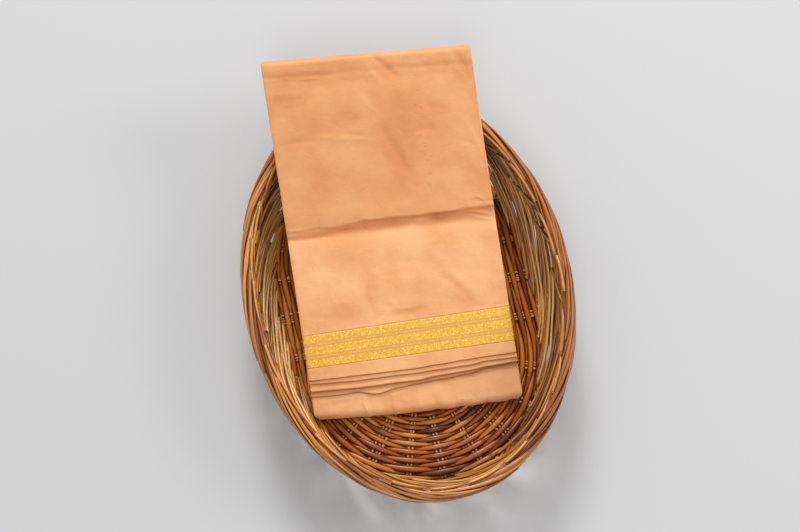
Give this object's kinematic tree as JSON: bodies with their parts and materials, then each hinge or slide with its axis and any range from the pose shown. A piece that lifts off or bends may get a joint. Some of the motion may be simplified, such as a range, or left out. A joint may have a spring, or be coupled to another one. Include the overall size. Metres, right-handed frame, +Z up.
{
  "type": "folded silk sari on a wicker basket",
  "caption": "Folded silk sari with a woven gold border near its lower edge, leaning in an oval wicker basket from the base up over the far rim.",
  "frame": {"origin": "middle of the bounding box in X and Y, at the height of the basket's underside", "axes": "+Y along the basket's long axis towards the rim that the sari leans over, +Z up, +X to the right as seen from the sari's bottom fold"},
  "size_m": [0.3436, 0.4856, 0.1424],
  "materials": {
    "silk": "smooth peach silk with a soft sheen",
    "silk_inner": "edges of the folded peach silk layers",
    "zari": "woven gold metallic thread bands",
    "wicker": "glossy brown willow rods",
    "wicker_light": "glossy tan and orange willow rods"
  },
  "bodies": {
    "root": {"basket_base": "wicker", "basket_wall": "wicker", "basket_rim": "wicker_light", "sari_core": "silk_inner", "sari_front_panel": "silk", "zari_border": "zari", "selvedge_strip": "silk", "sari_layer_2": "silk", "sari_layer_3": "silk", "sari_layer_4": "silk", "sari_lower_panel": "silk", "sari_back_panel": "silk"}
  },
  "joints": []
}
